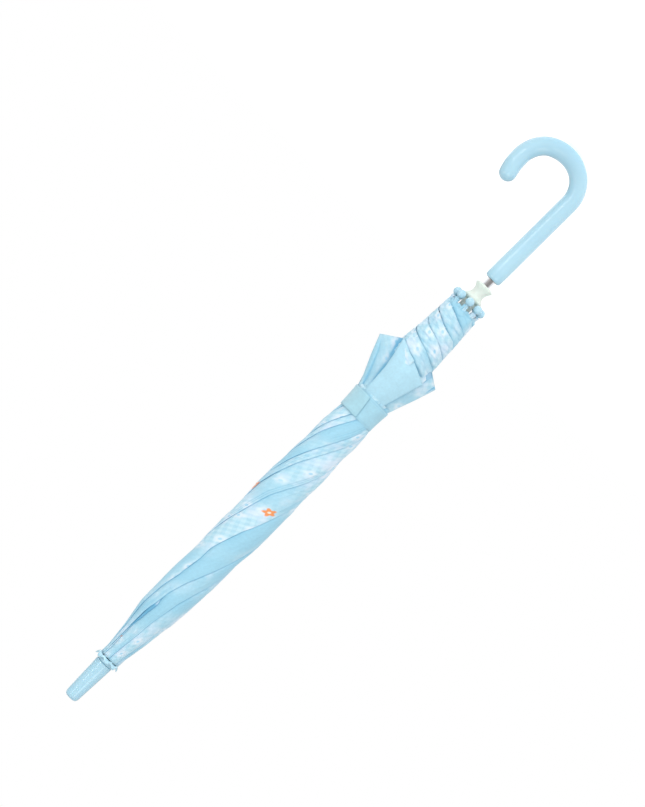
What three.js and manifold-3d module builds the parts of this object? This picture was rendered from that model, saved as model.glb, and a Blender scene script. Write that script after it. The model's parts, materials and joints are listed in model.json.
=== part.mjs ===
// A children's umbrella, closed and furled: J handle, steel shaft, eight ribs and stretchers
// on a crown and a runner, eight canopy panels, a closing strap and two spring catches.
// Millimetres. +Z runs up the shaft to the ferrule, the hook curls towards +X, and the
// origin is the middle of the straight grip.
import * as THREE from 'three';
import { mergeVertices } from 'three/addons/utils/BufferGeometryUtils.js';
import Module from 'manifold-3d';

const wasm = await Module();
wasm.setup();

// Driving dimensions
const RIBS = 8;
const GAP = 0.3; // clearance between pieces that meet
const TIP_Z = 590; // flat end of the ferrule
const RIB_PIVOT = { r: 6.5, z: 536 }; // where a rib turns on the crown's wire
const RIB_LENGTH = 457; // pivot to the middle of the ball tip
const BALL_PATH_R = 14.5; // ball tips' distance from the shaft when closed
const RIB_LEAN = Math.asin((BALL_PATH_R - RIB_PIVOT.r) / RIB_LENGTH);
const JOINT_ON_RIB = 210; // rib pivot to the stretcher's joint
const STRETCHER_PIVOT = { r: 7, z: 118 }; // where a stretcher turns on the runner's wire
const RUNNER_TRAVEL = 244;
const MOUTH_Z = 50; // top of the handle
const SHAFT_R = 4;
const SHAFT_WALL = 0.6;
const BORE_R = SHAFT_R + GAP;
const HOOK_R = 30.4; // middle line of the hook
const HOOK_Z = -49.3; // where the grip turns into the hook
const CATCH_LENGTH = 34;
const BOTTOM_CATCH_Z = 66;
const TOP_CATCH_Z = 267;

const FINISHES = {
  bluePlastic: { color: 0x9fcde8, roughness: 0.28, metalness: 0 },
  frostedPlastic: { color: 0xe1eee8, roughness: 0.5, metalness: 0 },
  shaftSteel: { color: 0xd5d8dc, roughness: 0.18, metalness: 1 },
  springSteel: { color: 0xb9bdc2, roughness: 0.35, metalness: 1 },
  ribSteel: { color: 0xc9ced3, roughness: 0.38, metalness: 1 },
  canopyFabric: { color: 0xb2dcf2, roughness: 0.75, metalness: 0 },
  strapFabric: { color: 0xa6d2ee, roughness: 0.8, metalness: 0 },
  hookAndLoop: { color: 0xbfe0f0, roughness: 0.95, metalness: 0 },
};

const umbrella = new THREE.Group();

function addPiece(name, geometry, finish, turn = 0) {
  const piece = new THREE.Mesh(geometry, new THREE.MeshStandardMaterial(FINISHES[finish]));
  piece.name = name;
  piece.rotation.z = turn;
  umbrella.add(piece);
}

// Booleans: a closed geometry becomes a solid, and the result comes back as a geometry.
function solidOf(geometry) {
  const bare = geometry.clone();
  bare.deleteAttribute('normal');
  bare.deleteAttribute('uv');
  const merged = mergeVertices(bare, 1e-4);
  const corners = merged.index.array;
  const kept = [];
  for (let k = 0; k < corners.length; k += 3) {
    const [a, b, c] = corners.slice(k, k + 3);
    if (a !== b && b !== c && c !== a) kept.push(a, b, c);
  }
  return new wasm.Manifold(new wasm.Mesh({
    numProp: 3,
    vertProperties: new Float32Array(merged.attributes.position.array),
    triVerts: new Uint32Array(kept),
  }));
}

function geometryOf(solid) {
  const mesh = solid.getMesh();
  const geometry = new THREE.BufferGeometry();
  geometry.setAttribute('position', new THREE.BufferAttribute(mesh.vertProperties, mesh.numProp));
  geometry.setIndex(new THREE.BufferAttribute(mesh.triVerts, 1));
  return geometry;
}

const joined = (...parts) => parts.map(solidOf).reduce((a, b) => a.add(b));
const cut = (solid, tools) => tools.reduce((left, tool) => left.subtract(solidOf(tool)), solid);

// Shapes about the Z axis. A profile is a list of [radius, height].
function turned(profile, sides = 24) {
  const points = profile.map(([r, z]) => new THREE.Vector2(r, z));
  return new THREE.LatheGeometry(points, sides).rotateX(Math.PI / 2);
}

const sleeve = (inner, outer, low, high, sides) => turned(
  [[inner, low], [outer, low], [outer, high], [inner, high], [inner, low]], sides);

const rod = (r, low, high, sides = 24) => new THREE.CylinderGeometry(r, r, high - low, sides)
  .rotateX(Math.PI / 2)
  .translate(0, 0, (low + high) / 2);

const wireRing = (r, wire, z, sides = 6) => new THREE.TorusGeometry(r, wire, sides, 32)
  .translate(0, 0, z);

function boxAt(low, high) {
  const size = high.map((value, k) => value - low[k]);
  const middle = high.map((value, k) => (value + low[k]) / 2);
  return new THREE.BoxGeometry(...size).translate(...middle);
}

// A flat plate: an outline in the radial plane (x outwards, y up), thick along the tangent.
function plate(outline, thickness, offset = 0, curveSegments = 5) {
  return new THREE.ExtrudeGeometry(outline, { depth: thickness, bevelEnabled: false, curveSegments })
    .rotateX(Math.PI / 2)
    .translate(0, offset + thickness / 2, 0);
}

// A round hole in a plate's outline.
function pinHole(r, x = 0, y = 0) {
  const hole = new THREE.Path();
  hole.absarc(x, y, r, 0, 2 * Math.PI, true);
  return hole;
}

const azimuth = (k) => (k * 2 * Math.PI) / RIBS;

// Shaft: a chromed steel tube, slotted for the two catches and drilled for the stop pin.
const SHAFT_LOW = 8.3;
const SHAFT_HIGH = 560;
const STOP_PIN = { r: 1.2, half: 5.6, z: STRETCHER_PIVOT.z + RUNNER_TRAVEL + 6 + 1.5 };

function crossPin(r, half, z, sides = 12) {
  return new THREE.CylinderGeometry(r, r, 2 * half, sides).rotateZ(Math.PI / 2).translate(0, 0, z);
}

function catchSlot(z) {
  return boxAt([-1.2, -SHAFT_R - 1, z + 6], [1.2, -1.5, z + CATCH_LENGTH + 1]);
}

const shaftTube = cut(solidOf(sleeve(SHAFT_R - SHAFT_WALL, SHAFT_R, SHAFT_LOW, SHAFT_HIGH, 24)), [
  catchSlot(BOTTOM_CATCH_Z),
  catchSlot(TOP_CATCH_Z),
  crossPin(STOP_PIN.r + GAP, STOP_PIN.half, STOP_PIN.z),
]);
addPiece('shaft_tube', geometryOf(shaftTube), 'shaftSteel');
addPiece('stop_pin', crossPin(STOP_PIN.r, STOP_PIN.half, STOP_PIN.z), 'springSteel');

// Catches: bent flat springs inside the tube, whose noses stand out of the slots.
function catchSpring(z) {
  const outline = new THREE.Shape();
  outline.moveTo(2.2, z);
  outline.lineTo(3.1, z);
  outline.lineTo(3.1, z + 9);
  outline.lineTo(6, z + 30);
  outline.lineTo(3.4, z + 33);
  outline.lineTo(2.2, z + 33);
  outline.lineTo(4.1, z + 29.4);
  outline.lineTo(2.2, z + 14);
  outline.closePath();
  return plate(outline, 1.6);
}

const FRONT = -Math.PI / 2; // the side the catches face
addPiece('bottom_catch', catchSpring(BOTTOM_CATCH_Z), 'springSteel', FRONT);
addPiece('top_catch', catchSpring(TOP_CATCH_Z), 'springSteel', FRONT);

// Ferrule: a moulded plastic cap on the shaft's end, with a small flat on its tip.
const FERRULE_Z = 546;
const ferrule = cut(
  solidOf(turned([
    [0, FERRULE_Z], [7.6, FERRULE_Z], [8.15, FERRULE_Z + 0.8], [7.5, FERRULE_Z + 22],
    [6.9, TIP_Z - 4], [6.3, TIP_Z - 1.7], [4.9, TIP_Z - 0.4], [3.8, TIP_Z], [0, TIP_Z],
  ])),
  [rod(BORE_R, FERRULE_Z - 5, SHAFT_HIGH + GAP)],
);
addPiece('ferrule', geometryOf(ferrule), 'bluePlastic');

// Rosette: a thin cup washer with a scalloped rim, which clamps the canopy on the crown.
const ROSETTE_Z = 539.4;

function scallops(radius, depth, z, height) {
  const outline = new THREE.Shape();
  const steps = 6 * RIBS;
  for (let k = 0; k < steps; k += 1) {
    const angle = (k * 2 * Math.PI) / steps;
    const r = radius + depth * Math.cos(RIBS * angle);
    const move = k === 0 ? 'moveTo' : 'lineTo';
    outline[move](r * Math.cos(angle), r * Math.sin(angle));
  }
  outline.closePath();
  return new THREE.ExtrudeGeometry(outline, { depth: height, bevelEnabled: false })
    .translate(0, 0, z);
}

const rosetteCup = cut(solidOf(scallops(12, 0.6, ROSETTE_Z, 3.6)), [
  scallops(10.8, 0.6, ROSETTE_Z + 1.2, 4),
]);
const rosette = cut(rosetteCup.add(solidOf(rod(7, ROSETTE_Z + 0.5, FERRULE_Z - GAP))), [
  rod(BORE_R, ROSETTE_Z - 1, FERRULE_Z + 1),
]);
addPiece('rosette', geometryOf(rosette), 'bluePlastic');

// Crown: the notched collar fixed on the shaft, with a wire ring through the ribs' eyes.
const WIRE_R = 0.45;
const CHANNEL_R = WIRE_R + GAP;
const EYE_R = 1.5;
const SLOT_HALF = 1.0;

function notches(offset, inner, outer, low, high) {
  return Array.from({ length: RIBS }, (_, k) => boxAt(
    [inner, offset - SLOT_HALF, low],
    [outer, offset + SLOT_HALF, high],
  ).rotateZ(azimuth(k)));
}

const CROWN = { low: 530.4, high: ROSETTE_Z - 0.5 };
const crown = cut(
  solidOf(turned([
    [BORE_R, CROWN.low], [8.4, CROWN.low], [9.6, CROWN.low + 1.2], [9.6, CROWN.high - 0.8],
    [8.8, CROWN.high], [BORE_R, CROWN.high], [BORE_R, CROWN.low],
  ])),
  [
    wireRing(RIB_PIVOT.r, CHANNEL_R, RIB_PIVOT.z),
    ...notches(0, 4.8, 12, CROWN.low - 1, RIB_PIVOT.z + EYE_R + GAP),
  ],
);
addPiece('crown', geometryOf(crown), 'frostedPlastic');
addPiece('crown_ring', wireRing(RIB_PIVOT.r, WIRE_R, RIB_PIVOT.z), 'springSteel');

// Runner: a frosted plastic spool that slides on the shaft, notched for the stretchers.
const RUNNER = { low: 58, neck: 112, high: 124 };
const STRETCHER_OFFSET = 2.1; // a stretcher lies beside its rib, not under it
const RUNNER_RING_R = Math.hypot(STRETCHER_PIVOT.r, STRETCHER_OFFSET);
const runner = cut(
  solidOf(turned([
    [BORE_R, RUNNER.low], [7.8, RUNNER.low], [8.9, RUNNER.low + 1.6], [8.4, RUNNER.low + 3.4],
    [6.6, RUNNER.low + 7], [6.4, RUNNER.low + 9.5], [6.9, RUNNER.low + 12],
    [9.1, RUNNER.low + 15], [9.5, RUNNER.low + 16.6], [8.9, RUNNER.low + 18], [6.5, RUNNER.low + 19],
    [6.5, RUNNER.neck - 2], [9.6, RUNNER.neck], [9.6, RUNNER.high - 0.8],
    [8.8, RUNNER.high], [BORE_R, RUNNER.high], [BORE_R, RUNNER.low],
  ])),
  [
    wireRing(RUNNER_RING_R, CHANNEL_R, STRETCHER_PIVOT.z),
    ...notches(STRETCHER_OFFSET, 5.2, 12, STRETCHER_PIVOT.z - EYE_R - GAP, RUNNER.high + 1),
    boxAt([-1.3, -8, BOTTOM_CATCH_Z + 14], [1.3, 0, BOTTOM_CATCH_Z + CATCH_LENGTH + 1]),
  ],
);
addPiece('runner', geometryOf(runner), 'frostedPlastic');
addPiece('runner_ring', wireRing(RUNNER_RING_R, WIRE_R, STRETCHER_PIVOT.z), 'springSteel');

// Handle: one moulded J with a blind socket for the shaft and a ball-nosed end.
const HOOK = { sweep: THREE.MathUtils.degToRad(188), lead: 3, tail: 17, r: 8.7 };

class HookLine extends THREE.Curve {
  getPoint(share, target = new THREE.Vector3()) {
    const arc = HOOK_R * HOOK.sweep;
    const along = share * (HOOK.lead + arc + HOOK.tail) - HOOK.lead;
    if (along <= 0) return target.set(0, 0, HOOK_Z - along);
    const turn = Math.min(along, arc) / HOOK_R;
    const rest = Math.max(along - arc, 0);
    return target.set(
      HOOK_R * (1 - Math.cos(turn)) + rest * Math.sin(turn),
      0,
      HOOK_Z - HOOK_R * Math.sin(turn) - rest * Math.cos(turn),
    );
  }
}

function tubeAlong(path, r, sides, steps) {
  const section = new THREE.Shape();
  section.absarc(0, 0, r, 0, 2 * Math.PI);
  return new THREE.ExtrudeGeometry(section, { steps, extrudePath: path, curveSegments: sides });
}

const hookLine = new HookLine();
const hookEnd = hookLine.getPoint(1);
const grip = turned([
  [0, HOOK_Z - 0.5], [8.5, HOOK_Z - 0.5], [8.6, 0], [8.5, MOUTH_Z - 1.2], [7.4, MOUTH_Z], [0, MOUTH_Z],
], 20);
const nose = new THREE.SphereGeometry(HOOK.r - 0.05, 20, 12).translate(hookEnd.x, 0, hookEnd.z);
const handle = cut(joined(grip, tubeAlong(hookLine, HOOK.r, 10, 26), nose), [
  rod(BORE_R, SHAFT_LOW - GAP, MOUTH_Z + 5),
]);
addPiece('handle', geometryOf(handle), 'bluePlastic');

// Ribs: flat steel strips with an eye at the crown, each ending in a plastic ball tip.
const RIB = { half: 1.1, thickness: 1.4 };
const BALL_R = 4.2;

function strip(length, half, tailHole) {
  const outline = new THREE.Shape();
  const shoulder = Math.sqrt(EYE_R ** 2 - half ** 2);
  const spread = Math.atan2(shoulder, half);
  outline.absarc(0, 0, EYE_R, -spread, Math.PI + spread);
  outline.lineTo(-half, -length);
  outline.lineTo(half, -length);
  outline.closePath();
  outline.holes.push(pinHole(CHANNEL_R + 0.15));
  if (tailHole) outline.holes.push(pinHole(tailHole, 0, -length + half + 0.3));
  return outline;
}

for (let k = 0; k < RIBS; k += 1) {
  const rib = plate(strip(RIB_LENGTH - BALL_R - GAP, RIB.half, 0), RIB.thickness)
    .rotateY(-RIB_LEAN)
    .translate(RIB_PIVOT.r, 0, RIB_PIVOT.z);
  const ball = new THREE.SphereGeometry(BALL_R, 12, 8)
    .rotateX(Math.PI / 2)
    .translate(0, 0, -RIB_LENGTH)
    .rotateY(-RIB_LEAN)
    .translate(RIB_PIVOT.r, 0, RIB_PIVOT.z);
  addPiece(`rib_${k + 1}`, rib, 'ribSteel', azimuth(k));
  addPiece(`ball_tip_${k + 1}`, ball, 'bluePlastic', azimuth(k));
}

// Stretchers: strips from the runner's wire to a joint on each rib, riveted beside the rib.
const STRETCHER = { half: 1.0, thickness: 1.2 };
const RIVET = { r: 0.5, head: 1.3, headThickness: 0.6 };
const JOINT = {
  r: RIB_PIVOT.r + JOINT_ON_RIB * Math.sin(RIB_LEAN),
  z: RIB_PIVOT.z - JOINT_ON_RIB * Math.cos(RIB_LEAN),
};
const STRETCHER_LEAN = Math.atan2(JOINT.r - STRETCHER_PIVOT.r, JOINT.z - STRETCHER_PIVOT.z);
const STRETCHER_LENGTH = Math.hypot(JOINT.r - STRETCHER_PIVOT.r, JOINT.z - STRETCHER_PIVOT.z);
const RIVET_INSIDE = RIB.thickness / 2 + GAP;
const RIVET_FACE = STRETCHER_OFFSET + STRETCHER.thickness / 2 + GAP;

for (let k = 0; k < RIBS; k += 1) {
  const reach = STRETCHER_LENGTH + STRETCHER.half + 0.3;
  const stretcher = plate(
    strip(reach, STRETCHER.half, RIVET.r + 0.2),
    STRETCHER.thickness,
    STRETCHER_OFFSET,
  )
    .rotateY(Math.PI + STRETCHER_LEAN)
    .translate(STRETCHER_PIVOT.r, 0, STRETCHER_PIVOT.z);
  const rivet = turned([
    [0, RIVET_INSIDE], [RIVET.r, RIVET_INSIDE], [RIVET.r, RIVET_FACE], [RIVET.head, RIVET_FACE],
    [RIVET.head * 0.8, RIVET_FACE + RIVET.headThickness], [0, RIVET_FACE + RIVET.headThickness],
  ], 10)
    .rotateX(-Math.PI / 2)
    .translate(JOINT.r, 0, JOINT.z);
  addPiece(`stretcher_${k + 1}`, stretcher, 'ribSteel', azimuth(k));
  addPiece(`rivet_${k + 1}`, rivet, 'springSteel', azimuth(k));
}

// Canopy: eight soft panels, one between each two ribs, furled close round the frame.
// Each point is [distance below the crown's pivots, outer radius].
const FURLED = [
  [7, 11], [30, 13.4], [57, 17.4], [92, 19.3], [130, 18.6], [164, 20.6], [196, 20.6],
  [251, 19.2], [292, 18.6], [308, 17.6], [336, 17.6], [352, 19.5], [376, 28], [384, 27],
  [392, 20.5], [412, 18.8], [440, 17.9],
];
const SEAM_GAP = 0.2;
const lining = (below) => 9.2 + below * Math.sin(RIB_LEAN);
const below = ([distance, r]) => [r, RIB_PIVOT.z - distance];
const deepest = FURLED[FURLED.length - 1][0];
const furled = solidOf(turned([
  ...FURLED.map(below).reverse(),
  below([FURLED[0][0], lining(FURLED[0][0])]),
  below([deepest, lining(deepest)]),
  below(FURLED[FURLED.length - 1]),
], 24).rotateZ(Math.PI / 24));

function wedge(from, to, inset, low, high) {
  const middle = (from + to) / 2;
  const back = inset / Math.sin((to - from) / 2);
  const reach = 60;
  const corner = (angle) => new THREE.Vector2(
    back * Math.cos(middle) + reach * Math.cos(angle),
    back * Math.sin(middle) + reach * Math.sin(angle),
  );
  const apex = new THREE.Vector2(back * Math.cos(middle), back * Math.sin(middle));
  return new THREE.ExtrudeGeometry(new THREE.Shape([apex, corner(from), corner(to)]), {
    depth: high - low,
    bevelEnabled: false,
  }).translate(0, 0, low);
}

for (let k = 0; k < RIBS; k += 1) {
  const sector = wedge(azimuth(k), azimuth(k + 1), SEAM_GAP, MOUTH_Z, TIP_Z);
  addPiece(`canopy_panel_${k + 1}`, geometryOf(furled.intersect(solidOf(sector))), 'canopyFabric');
}

// Strap: a fabric band round the furled canopy, closed by a hook-and-loop tab in front.
const STRAP = { low: 203.5, high: 226.5, inner: 18.2, outer: 19.4 };
const TAB = { inner: STRAP.outer + GAP, outer: STRAP.outer + GAP + 1.2, from: -90, to: -4 };
const BAND_GAP = { from: -60, to: -2 };
const degrees = THREE.MathUtils.degToRad;
const band = solidOf(sleeve(STRAP.inner, STRAP.outer, STRAP.low, STRAP.high, 36)).subtract(
  solidOf(wedge(degrees(BAND_GAP.from), degrees(BAND_GAP.to), 0, 0, TIP_Z)));
const tab = solidOf(sleeve(TAB.inner, TAB.outer, STRAP.low + 1, STRAP.high - 1, 36)).intersect(
  solidOf(wedge(degrees(TAB.from), degrees(TAB.to), 0, 0, TIP_Z)));
addPiece('strap_band', geometryOf(band), 'strapFabric');
addPiece('strap_tab', geometryOf(tab), 'hookAndLoop');

export default umbrella;
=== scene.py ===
import json
import math

import bmesh
import bpy
import numpy as np
from mathutils import Matrix, Vector, noise


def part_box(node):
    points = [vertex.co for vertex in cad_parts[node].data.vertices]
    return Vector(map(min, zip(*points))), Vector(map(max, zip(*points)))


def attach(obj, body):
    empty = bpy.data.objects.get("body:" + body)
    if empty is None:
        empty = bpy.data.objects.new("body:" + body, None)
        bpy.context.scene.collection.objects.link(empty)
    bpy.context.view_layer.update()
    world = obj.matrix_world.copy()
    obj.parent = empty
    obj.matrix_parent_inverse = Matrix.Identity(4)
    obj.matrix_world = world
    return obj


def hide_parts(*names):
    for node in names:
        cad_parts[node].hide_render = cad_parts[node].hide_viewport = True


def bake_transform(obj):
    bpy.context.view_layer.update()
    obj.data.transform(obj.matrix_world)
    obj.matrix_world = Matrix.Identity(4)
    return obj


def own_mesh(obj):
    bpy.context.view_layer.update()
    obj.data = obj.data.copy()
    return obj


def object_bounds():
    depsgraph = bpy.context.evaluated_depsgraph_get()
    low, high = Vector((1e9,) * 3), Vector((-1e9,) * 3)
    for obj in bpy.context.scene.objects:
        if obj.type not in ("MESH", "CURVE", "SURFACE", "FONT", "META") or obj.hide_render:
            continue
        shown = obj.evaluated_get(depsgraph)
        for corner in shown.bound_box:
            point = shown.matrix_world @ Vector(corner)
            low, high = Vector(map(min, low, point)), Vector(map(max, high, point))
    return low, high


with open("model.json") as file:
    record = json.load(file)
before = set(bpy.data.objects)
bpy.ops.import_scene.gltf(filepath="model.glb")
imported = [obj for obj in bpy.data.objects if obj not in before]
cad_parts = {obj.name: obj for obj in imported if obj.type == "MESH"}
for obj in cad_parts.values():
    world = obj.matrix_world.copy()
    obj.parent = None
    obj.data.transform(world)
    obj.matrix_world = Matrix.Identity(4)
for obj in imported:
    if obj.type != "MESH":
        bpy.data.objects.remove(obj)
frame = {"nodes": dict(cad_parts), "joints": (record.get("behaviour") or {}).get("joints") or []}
cad_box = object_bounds()

# Camera: square to the plane of the hook and level with the middle of the umbrella, rolled so
# that the umbrella lies across the frame, ferrule at the lower left and hook at the upper right.
ROLL = math.radians(44.67)
AIM = Vector((0.0285, 0.0, 0.2385))
DISTANCE = 2.448
camera_data = bpy.data.cameras.new("camera")
camera_data.lens = 120
camera_data.sensor_width = 36
camera = bpy.data.objects.new("camera", camera_data)
rightwards = Vector((-math.sin(ROLL), 0, -math.cos(ROLL)))
upwards = Vector((math.cos(ROLL), 0, -math.sin(ROLL)))
camera.matrix_world = Matrix.Translation(AIM - Vector((0, DISTANCE, 0))) @ (
    Matrix((rightwards, upwards, (0, -1, 0))).transposed().to_4x4())
bpy.context.collection.objects.link(camera)
bpy.context.scene.camera = camera


# Stage: a pale floor just under the hook, a white surround, and four soft lights. A bright card
# lying on the floor, white on white, puts the long highlight on the grip.
def feed(tree, made, inputs):
    """Give a node's inputs their values, or the sockets that they link from."""
    for key, value in inputs.items():
        if isinstance(value, bpy.types.NodeSocket):
            tree.links.new(value, made.inputs[key])
        else:
            made.inputs[key].default_value = value


def node(tree, kind, inputs=None, **settings):
    """A shader node with its settings and its inputs."""
    made = tree.nodes.new("ShaderNode" + kind)
    for key, value in settings.items():
        setattr(made, key, value)
    feed(tree, made, inputs or {})
    return made


def ramp(tree, value, start, end, low=0.0, high=1.0):
    """A value that goes from low to high while another goes from start to end."""
    return node(tree, "MapRange", {"Value": value, "From Min": start, "From Max": end,
                                   "To Min": low, "To Max": high}).outputs[0]


def finished(name, bm, *materials, smooth=True):
    """The bmesh as an object with its place in its mesh."""
    mesh = bpy.data.meshes.new(name)
    for face in bm.faces:
        face.smooth = smooth
    bm.to_mesh(mesh)
    bm.free()
    for one in materials:
        mesh.materials.append(one)
    made = bpy.data.objects.new(name, mesh)
    bpy.context.collection.objects.link(made)
    return made


def blank_material(name):
    """A new material and its node tree, which holds a Principled BSDF."""
    made = bpy.data.materials.new(name)
    made.use_nodes = True
    return made, made.node_tree


def card(name, corners, shade, glow):
    """A flat sheet of paper or card between four corners."""
    bm = bmesh.new()
    bmesh.ops.contextual_create(bm, geom=[bm.verts.new(corner) for corner in corners])
    paper, tree = blank_material(name + "_paper")
    feed(tree, tree.nodes["Principled BSDF"], {
        "Base Color": (shade, shade, shade, 1), "Roughness": 0.9,
        "Emission Color": (1, 1, 1, 1), "Emission Strength": glow})
    finished(name, bm, paper)


def surround():
    """White to the camera, and a soft gradient to everything that it lights."""
    world = bpy.data.worlds.new("studio")
    world.use_nodes = True
    tree = world.node_tree
    tree.nodes.clear()
    facing = node(tree, "TexCoord")
    key_side = node(tree, "VectorMath", {0: facing.outputs["Generated"], 1: (-0.25, -0.6, 0.6)},
                    operation="DOT_PRODUCT")
    fall = ramp(tree, key_side.outputs["Value"], -0.9, 0.9, 0.40, 0.79)
    soft = node(tree, "Background", {"Strength": fall, "Color": (0.97, 0.985, 1.0, 1)})
    white = node(tree, "Background", {"Strength": 1.0, "Color": (1, 1, 1, 1)})
    seen = node(tree, "LightPath")
    shown = node(tree, "MixShader", {0: seen.outputs["Is Camera Ray"],
                                     1: soft.outputs[0], 2: white.outputs[0]})
    node(tree, "OutputWorld", {"Surface": shown.outputs[0]})
    bpy.context.scene.world = world


def soft_light(name, place, size, watts):
    data = bpy.data.lights.new(name, "AREA")
    data.shape = "RECTANGLE"
    data.size, data.size_y = size
    data.energy = watts
    light = bpy.data.objects.new(name, data)
    light.location = place
    light.rotation_mode = "QUATERNION"
    light.rotation_quaternion = (AIM - Vector(place)).to_track_quat("-Z", "Y")
    bpy.context.collection.objects.link(light)


floor_z = cad_box[0].z - 0.0005
card("floor", [(x, y, floor_z) for x, y in ((-3, -3), (3, -3), (3, 3), (-3, 3))], 0.96, 0.45)
card("bright_card", [(x, y, floor_z + 0.001) for x, y in (
    (0.129, -0.178), (1.47, -2.02), (1.68, -1.86), (0.147, -0.164))], 0.9, 6.5)
surround()
soft_light("strip", (1.24, -1.54, 0.95), (0.10, 2.0), 4.0)
soft_light("front", (-0.25, -2.4, 0.6), (0.25, 0.25), 1.2)
soft_light("key", (-1.3, -1.9, 1.0), (0.9, 1.2), 5.3)
soft_light("back", (0.4, 1.8, 1.2), (1.5, 1.0), 3)
bpy.context.scene.view_settings.view_transform = "Standard"


# Handle: one moulded J of glossy light blue plastic, pushed on the shaft's lower end. The grip
# swells a little, the hook is the thickest part, and its end tapers to a round nose.
def skin_group(name, inputs):
    """A node group for a surface: its tree, still empty, and its input and output nodes."""
    tree = bpy.data.node_groups.new(name, "ShaderNodeTree")
    for label, kind, value in inputs:
        socket = tree.interface.new_socket(name=label, in_out="INPUT",
                                           socket_type="NodeSocket" + kind)
        socket.default_value = value
    for label, kind in (("Colour", "Color"), ("Roughness", "Float"), ("Normal", "Vector")):
        tree.interface.new_socket(name=label, in_out="OUTPUT", socket_type="NodeSocket" + kind)
    return tree, tree.nodes.new("NodeGroupInput"), tree.nodes.new("NodeGroupOutput")


def calc(tree, operation, *values, **settings):
    """The result of a Math node."""
    return node(tree, "Math", dict(enumerate(values)), operation=operation,
                **settings).outputs[0]


def mottle(tree, place, scale, detail, **more):
    """The value of a noise texture."""
    return node(tree, "TexNoise", {"Vector": place, "Scale": scale, "Detail": detail,
                                   **more}).outputs["Fac"]


def mixed(tree, share, under, over):
    """One colour over another by a share."""
    return node(tree, "Mix", {"Factor": share, "A": under, "B": over},
                data_type="RGBA").outputs["Result"]


def moulded_skin():
    """Moulded plastic: faint flow marks in the colour, and a fine orange peel."""
    tree, given, out = skin_group("moulded_skin", [
        ("Colour", "Color", (1, 1, 1, 1)), ("Deep", "Color", (0, 0, 0, 1)),
        ("Gloss", "Float", 0.3), ("Peel", "Float", 0.02)])
    place = node(tree, "TexCoord").outputs["Object"]
    flow = ramp(tree, mottle(tree, place, 38, 3), 0.35, 0.7, high=0.35)
    handled = ramp(tree, mottle(tree, place, 160, 6, Roughness=0.7), 0.3, 0.75, high=0.12)
    peel = node(tree, "Bump", {"Height": mottle(tree, place, 900, 2),
                               "Strength": given.outputs["Peel"], "Distance": 0.0004})
    feed(tree, out, {
        "Colour": mixed(tree, flow, given.outputs["Colour"], given.outputs["Deep"]),
        "Roughness": calc(tree, "ADD", handled, given.outputs["Gloss"]),
        "Normal": peel.outputs[0]})
    return tree


def dressed(tree, skin, inputs, **sockets):
    """A skin's colour, roughness and normal on the shader, and the shader's own values."""
    surface = node(tree, "Group", inputs, node_tree=skin)
    feed(tree, tree.nodes["Principled BSDF"], {
        "Base Color": surface.outputs["Colour"], "Roughness": surface.outputs["Roughness"],
        "Normal": surface.outputs["Normal"],
        **{key.replace("_", " "): value for key, value in sockets.items()}})
    return surface


def skinned(name, skin, inputs, **sockets):
    """A material that is one skin all over."""
    made, tree = blank_material(name)
    dressed(tree, skin, inputs, **sockets)
    return made


plastic_skin = moulded_skin()
blue_plastic = skinned(
    "light_blue_plastic", plastic_skin,
    {"Colour": (0.42, 0.68, 0.80, 1), "Deep": (0.36, 0.61, 0.76, 1), "Gloss": 0.28,
     "Peel": 0.004},
    Coat_Weight=1.0, Coat_Roughness=0.04, Subsurface_Weight=0.12, Subsurface_Scale=0.004,
    Subsurface_Radius=(0.5, 0.8, 1.0))


def swept(bm, rings, segments=48):
    """Rings of (centre, direction, radius) bridged into one skin, with both ends capped."""
    loops = []
    for centre, heading, radius in rings:
        turn = Vector(heading).to_track_quat("Z", "Y").to_matrix().to_4x4()
        made = bmesh.ops.create_circle(bm, segments=segments, radius=radius,
                                       matrix=Matrix.Translation(centre) @ turn)
        loops.append(made["verts"])
    edges_of = [[e for e in bm.edges if e.verts[0] in set(ring)] for ring in loops]
    for first, second in zip(edges_of, edges_of[1:]):
        bmesh.ops.bridge_loops(bm, edges=first + second)
    for ring in (loops[0], loops[-1]):
        bmesh.ops.contextual_create(bm, geom=ring)
    bmesh.ops.recalc_face_normals(bm, faces=bm.faces)


HOOK_LINE = ((0, 30.4, 8.55), (12, 30.2, 8.5), (24, 29.95, 8.4), (48, 29.5, 8.4), (60, 29.2, 8.5),
             (72, 29.0, 8.65), (84, 28.9, 8.8), (96, 28.95, 8.9), (108, 29.3, 8.95),
             (120, 29.9, 8.95), (132, 30.5, 8.8), (144, 30.85, 8.75), (168, 31.3, 8.7),
             (187, 31.75, 8.65))
HOOK_TAIL = ((61.75, 8.0, 8.62), (61.2, 12.2, 8.6), (60.3, 16.2, 8.5), (59.3, 19.8, 8.35))
HOOK_MIDDLE = 30.4
HOOK_THICK = 8.7


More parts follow.
